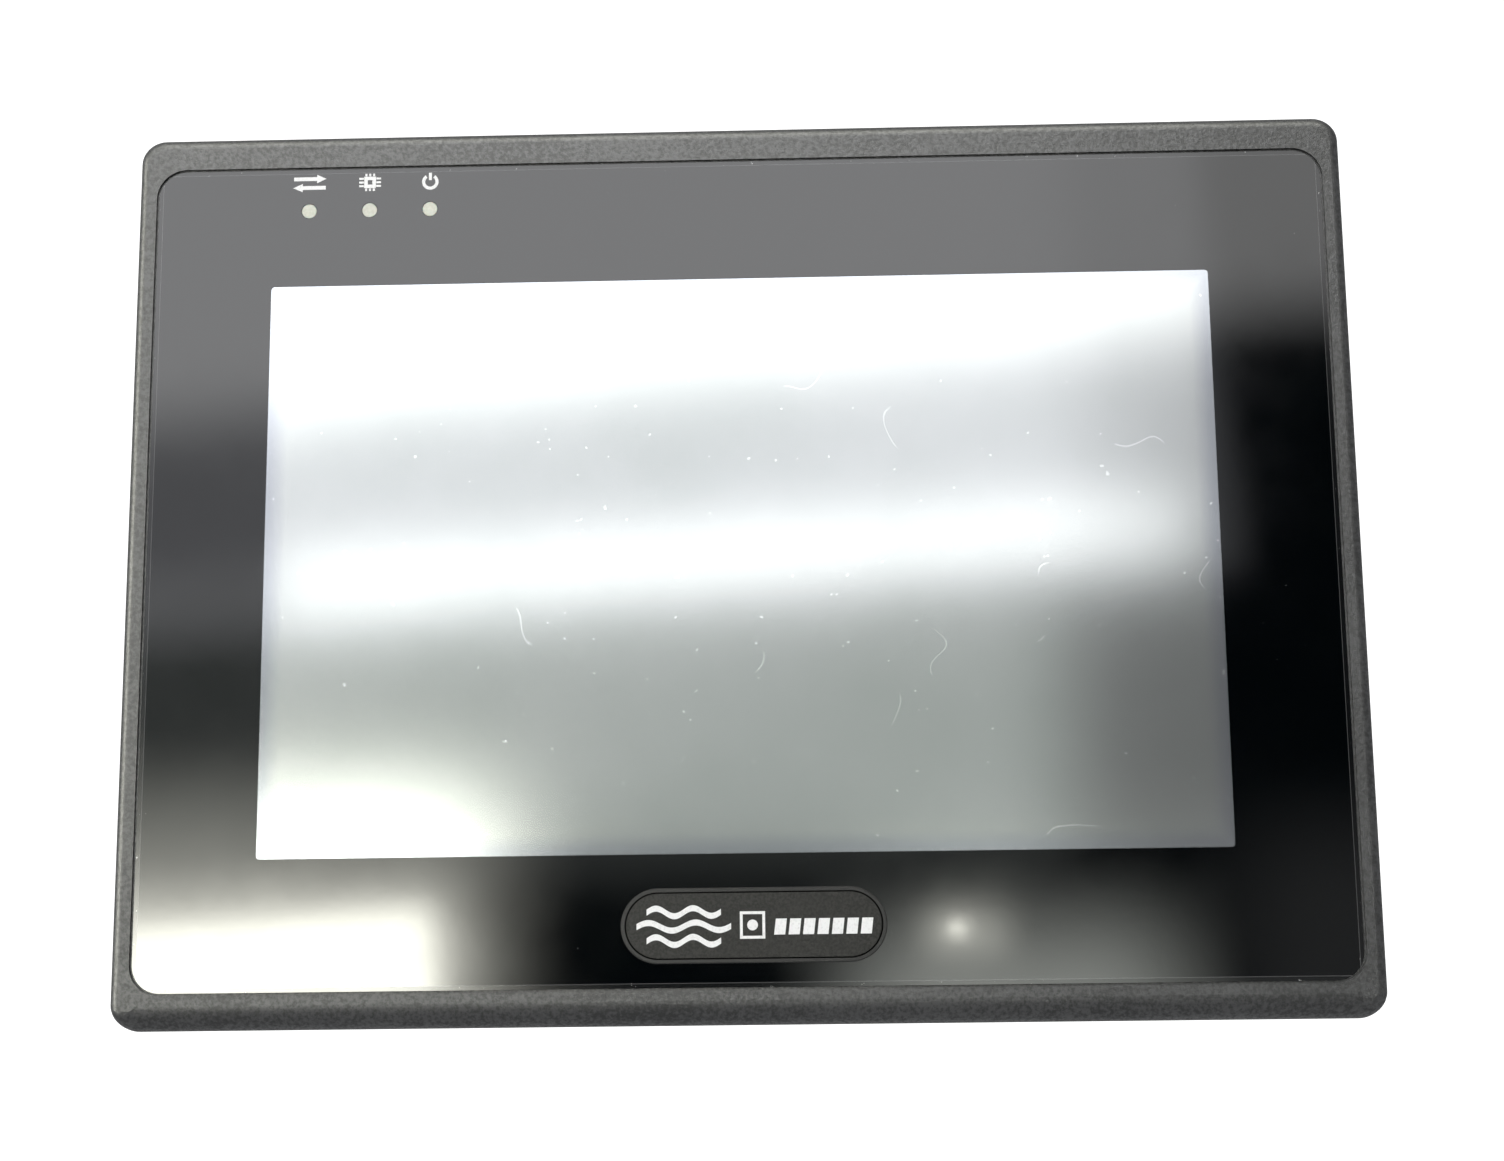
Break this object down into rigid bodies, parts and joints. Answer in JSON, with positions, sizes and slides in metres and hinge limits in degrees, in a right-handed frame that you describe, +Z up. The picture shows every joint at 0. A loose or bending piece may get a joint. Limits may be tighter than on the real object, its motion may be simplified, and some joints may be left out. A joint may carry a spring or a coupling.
{
  "type": "hmi touch panel",
  "caption": "Flush-mounting operator panel with a gloss front, landscape touch display, indicator lamps, sealed bezel, rear connector bay and screw clamps.",
  "frame": {"origin": "centre of the panel seat, the rear face of the sealing gasket that presses on the front of the cabinet panel", "axes": "+X to the right seen from the front, +Y into the cabinet, +Z up; the display faces -Y"},
  "size_m": [0.202, 0.045, 0.149],
  "materials": {
    "bezel_plastic": "fine moulded texture",
    "housing_plastic": "fine moulded texture",
    "overlay_black": "gloss",
    "window_clear": "anti-glare",
    "nameplate_grey": "satin",
    "lamp_lens": "translucent",
    "seal_foam": "closed-cell foam",
    "touch_glass": "anti-glare",
    "lcd_glass": "polariser film",
    "zinc_sheet": "zinc plated",
    "white_plastic": "moulded",
    "screw_steel": "zinc plated",
    "screw_black": "black oxide",
    "standoff_brass": "turned",
    "board_green": "solder mask",
    "chip_black": "moulded",
    "insulator_black": "moulded",
    "can_aluminium": "drawn",
    "cell_steel": "polished",
    "led_body": "clear",
    "ribbon_film": "polyimide film",
    "connector_metal": "nickel plated",
    "contact_gold": "plated",
    "terminal_green": "moulded",
    "cage_metal": "nickel plated",
    "button_white": "moulded",
    "switch_red": "moulded",
    "gasket_rubber": "moulded",
    "label_film": "printed polyester",
    "clamp_metal": "die cast",
    "foot_plastic": "moulded"
  },
  "bodies": {
    "unit": {"backlight_driver": "board_green", "backlight_unit": "white_plastic", "battery_holder": "insulator_black", "board_standoffs": "standoff_brass", "buzzer": "chip_black", "capacitors": "can_aluminium", "chassis_plate": "zinc_sheet", "coin_cell": "cell_steel", "cover_screws": "screw_black", "dip_switch": "switch_red", "display_seals": "seal_foam", "ethernet_jack": "insulator_black", "flat_cables": "ribbon_film", "front_bezel": "bezel_plastic", "indicator_board": "board_green", "indicator_leds": "led_body", "inner_screws": "screw_steel", "jack_posts": "connector_metal", "lcd_frame": "zinc_sheet", "lcd_glass": "lcd_glass", "light_pipes": "lamp_lens", "logic_chips": "chip_black", "main_board": "board_green", "nameplate": "nameplate_grey", "overlay_film": "overlay_black", "panel_gasket": "gasket_rubber", "port_contacts": "contact_gold", "port_inserts": "insulator_black", "power_header": "terminal_green", "rating_label": "label_film", "rear_housing": "housing_plastic", "reset_switch": "insulator_black", "serial_shells": "connector_metal", "touch_panel": "touch_glass", "usb_ports": "connector_metal", "window_film": "window_clear"},
    "power_plug": {"power_plug": "terminal_green"},
    "reset_button": {"reset_button": "button_white"},
    "terminal_screw_1": {"terminal_screw_1": "screw_steel"},
    "terminal_screw_2": {"terminal_screw_2": "screw_steel"},
    "terminal_screw_3": {"terminal_screw_3": "screw_steel"},
    "wire_cage_1": {"wire_cage_1": "cage_metal"},
    "wire_cage_2": {"wire_cage_2": "cage_metal"},
    "wire_cage_3": {"wire_cage_3": "cage_metal"},
    "dip_slider_1": {"dip_slider_1": "button_white"},
    "dip_slider_2": {"dip_slider_2": "button_white"},
    "dip_slider_3": {"dip_slider_3": "button_white"},
    "dip_slider_4": {"dip_slider_4": "button_white"},
    "clamp_1": {"clamp_1": "clamp_metal"},
    "clamp_2": {"clamp_2": "clamp_metal"},
    "clamp_3": {"clamp_3": "clamp_metal"},
    "clamp_4": {"clamp_4": "clamp_metal"},
    "clamp_screw_1": {"clamp_screw_1": "screw_steel"},
    "clamp_screw_2": {"clamp_screw_2": "screw_steel"},
    "clamp_screw_3": {"clamp_screw_3": "screw_steel"},
    "clamp_screw_4": {"clamp_screw_4": "screw_steel"},
    "clamp_foot_1": {"clamp_foot_1": "foot_plastic"},
    "clamp_foot_2": {"clamp_foot_2": "foot_plastic"},
    "clamp_foot_3": {"clamp_foot_3": "foot_plastic"},
    "clamp_foot_4": {"clamp_foot_4": "foot_plastic"}
  },
  "joints": [
    {"name": "power_plug_slide", "type": "slide", "parent": "unit", "child": "power_plug", "axis": [0, 0, -1], "range_m": [0, 0.012]},
    {"name": "terminal_screw_1_turn", "type": "hinge", "parent": "power_plug", "child": "terminal_screw_1", "pos_m": [-0.06508, 0.032, -0.061], "axis": [0, -1, 0], "range_deg": [0, 1728.5]},
    {"name": "wire_cage_1_slide", "type": "slide", "parent": "power_plug", "child": "wire_cage_1", "axis": [0, 1, 0], "range_m": [0, 0.0024]},
    {"name": "terminal_screw_2_turn", "type": "hinge", "parent": "power_plug", "child": "terminal_screw_2", "pos_m": [-0.06, 0.032, -0.061], "axis": [0, -1, 0], "range_deg": [0, 1728.5]},
    {"name": "wire_cage_2_slide", "type": "slide", "parent": "power_plug", "child": "wire_cage_2", "axis": [0, 1, 0], "range_m": [0, 0.0024]},
    {"name": "terminal_screw_3_turn", "type": "hinge", "parent": "power_plug", "child": "terminal_screw_3", "pos_m": [-0.05492, 0.032, -0.061], "axis": [0, -1, 0], "range_deg": [0, 1728.5]},
    {"name": "wire_cage_3_slide", "type": "slide", "parent": "power_plug", "child": "wire_cage_3", "axis": [0, 1, 0], "range_m": [0, 0.0024]},
    {"name": "reset_button_press", "type": "slide", "parent": "unit", "child": "reset_button", "axis": [0, -1, 0], "range_m": [0, 0.0005], "stiffness_N_per_m": 2000, "springref_m": -0.0002},
    {"name": "dip_slider_1_slide", "type": "slide", "parent": "unit", "child": "dip_slider_1", "axis": [0, 0, 1], "range_m": [0, 0.0012]},
    {"name": "dip_slider_2_slide", "type": "slide", "parent": "unit", "child": "dip_slider_2", "axis": [0, 0, 1], "range_m": [0, 0.0012]},
    {"name": "dip_slider_3_slide", "type": "slide", "parent": "unit", "child": "dip_slider_3", "axis": [0, 0, 1], "range_m": [0, 0.0012]},
    {"name": "dip_slider_4_slide", "type": "slide", "parent": "unit", "child": "dip_slider_4", "axis": [0, 0, 1], "range_m": [0, 0.0012]},
    {"name": "clamp_1_slide", "type": "slide", "parent": "unit", "child": "clamp_1", "axis": [0, -1, 0], "range_m": [0, 0.0015]},
    {"name": "clamp_foot_1_advance", "type": "slide", "parent": "clamp_1", "child": "clamp_foot_1", "axis": [0, -1, 0], "range_m": [0, 0.0063]},
    {"name": "clamp_screw_1_turn", "type": "hinge", "parent": "clamp_foot_1", "child": "clamp_screw_1", "pos_m": [-0.082, 0.02, 0.0716], "axis": [0, -1, 0], "range_deg": [0, 4536.5]},
    {"name": "clamp_2_slide", "type": "slide", "parent": "unit", "child": "clamp_2", "axis": [0, -1, 0], "range_m": [0, 0.0015]},
    {"name": "clamp_foot_2_advance", "type": "slide", "parent": "clamp_2", "child": "clamp_foot_2", "axis": [0, -1, 0], "range_m": [0, 0.0063]},
    {"name": "clamp_screw_2_turn", "type": "hinge", "parent": "clamp_foot_2", "child": "clamp_screw_2", "pos_m": [0.082, 0.02, 0.0716], "axis": [0, -1, 0], "range_deg": [0, 4536.5]},
    {"name": "clamp_3_slide", "type": "slide", "parent": "unit", "child": "clamp_3", "axis": [0, -1, 0], "range_m": [0, 0.0015]},
    {"name": "clamp_foot_3_advance", "type": "slide", "parent": "clamp_3", "child": "clamp_foot_3", "axis": [0, -1, 0], "range_m": [0, 0.0063]},
    {"name": "clamp_screw_3_turn", "type": "hinge", "parent": "clamp_foot_3", "child": "clamp_screw_3", "pos_m": [-0.082, 0.02, -0.0716], "axis": [0, -1, 0], "range_deg": [0, 4536.5]},
    {"name": "clamp_4_slide", "type": "slide", "parent": "unit", "child": "clamp_4", "axis": [0, -1, 0], "range_m": [0, 0.0015]},
    {"name": "clamp_foot_4_advance", "type": "slide", "parent": "clamp_4", "child": "clamp_foot_4", "axis": [0, -1, 0], "range_m": [0, 0.0063]},
    {"name": "clamp_screw_4_turn", "type": "hinge", "parent": "clamp_foot_4", "child": "clamp_screw_4", "pos_m": [0.082, 0.02, -0.0716], "axis": [0, -1, 0], "range_deg": [0, 4536.5]}
  ],
  "couplings": [
    {"joint": "terminal_screw_1_turn", "follows": "wire_cage_1_slide", "rad_per_m": 12566},
    {"joint": "terminal_screw_2_turn", "follows": "wire_cage_2_slide", "rad_per_m": 12566},
    {"joint": "terminal_screw_3_turn", "follows": "wire_cage_3_slide", "rad_per_m": 12566},
    {"joint": "clamp_screw_1_turn", "follows": "clamp_foot_1_advance", "rad_per_m": 12566},
    {"joint": "clamp_screw_2_turn", "follows": "clamp_foot_2_advance", "rad_per_m": 12566},
    {"joint": "clamp_screw_3_turn", "follows": "clamp_foot_3_advance", "rad_per_m": 12566},
    {"joint": "clamp_screw_4_turn", "follows": "clamp_foot_4_advance", "rad_per_m": 12566}
  ]
}
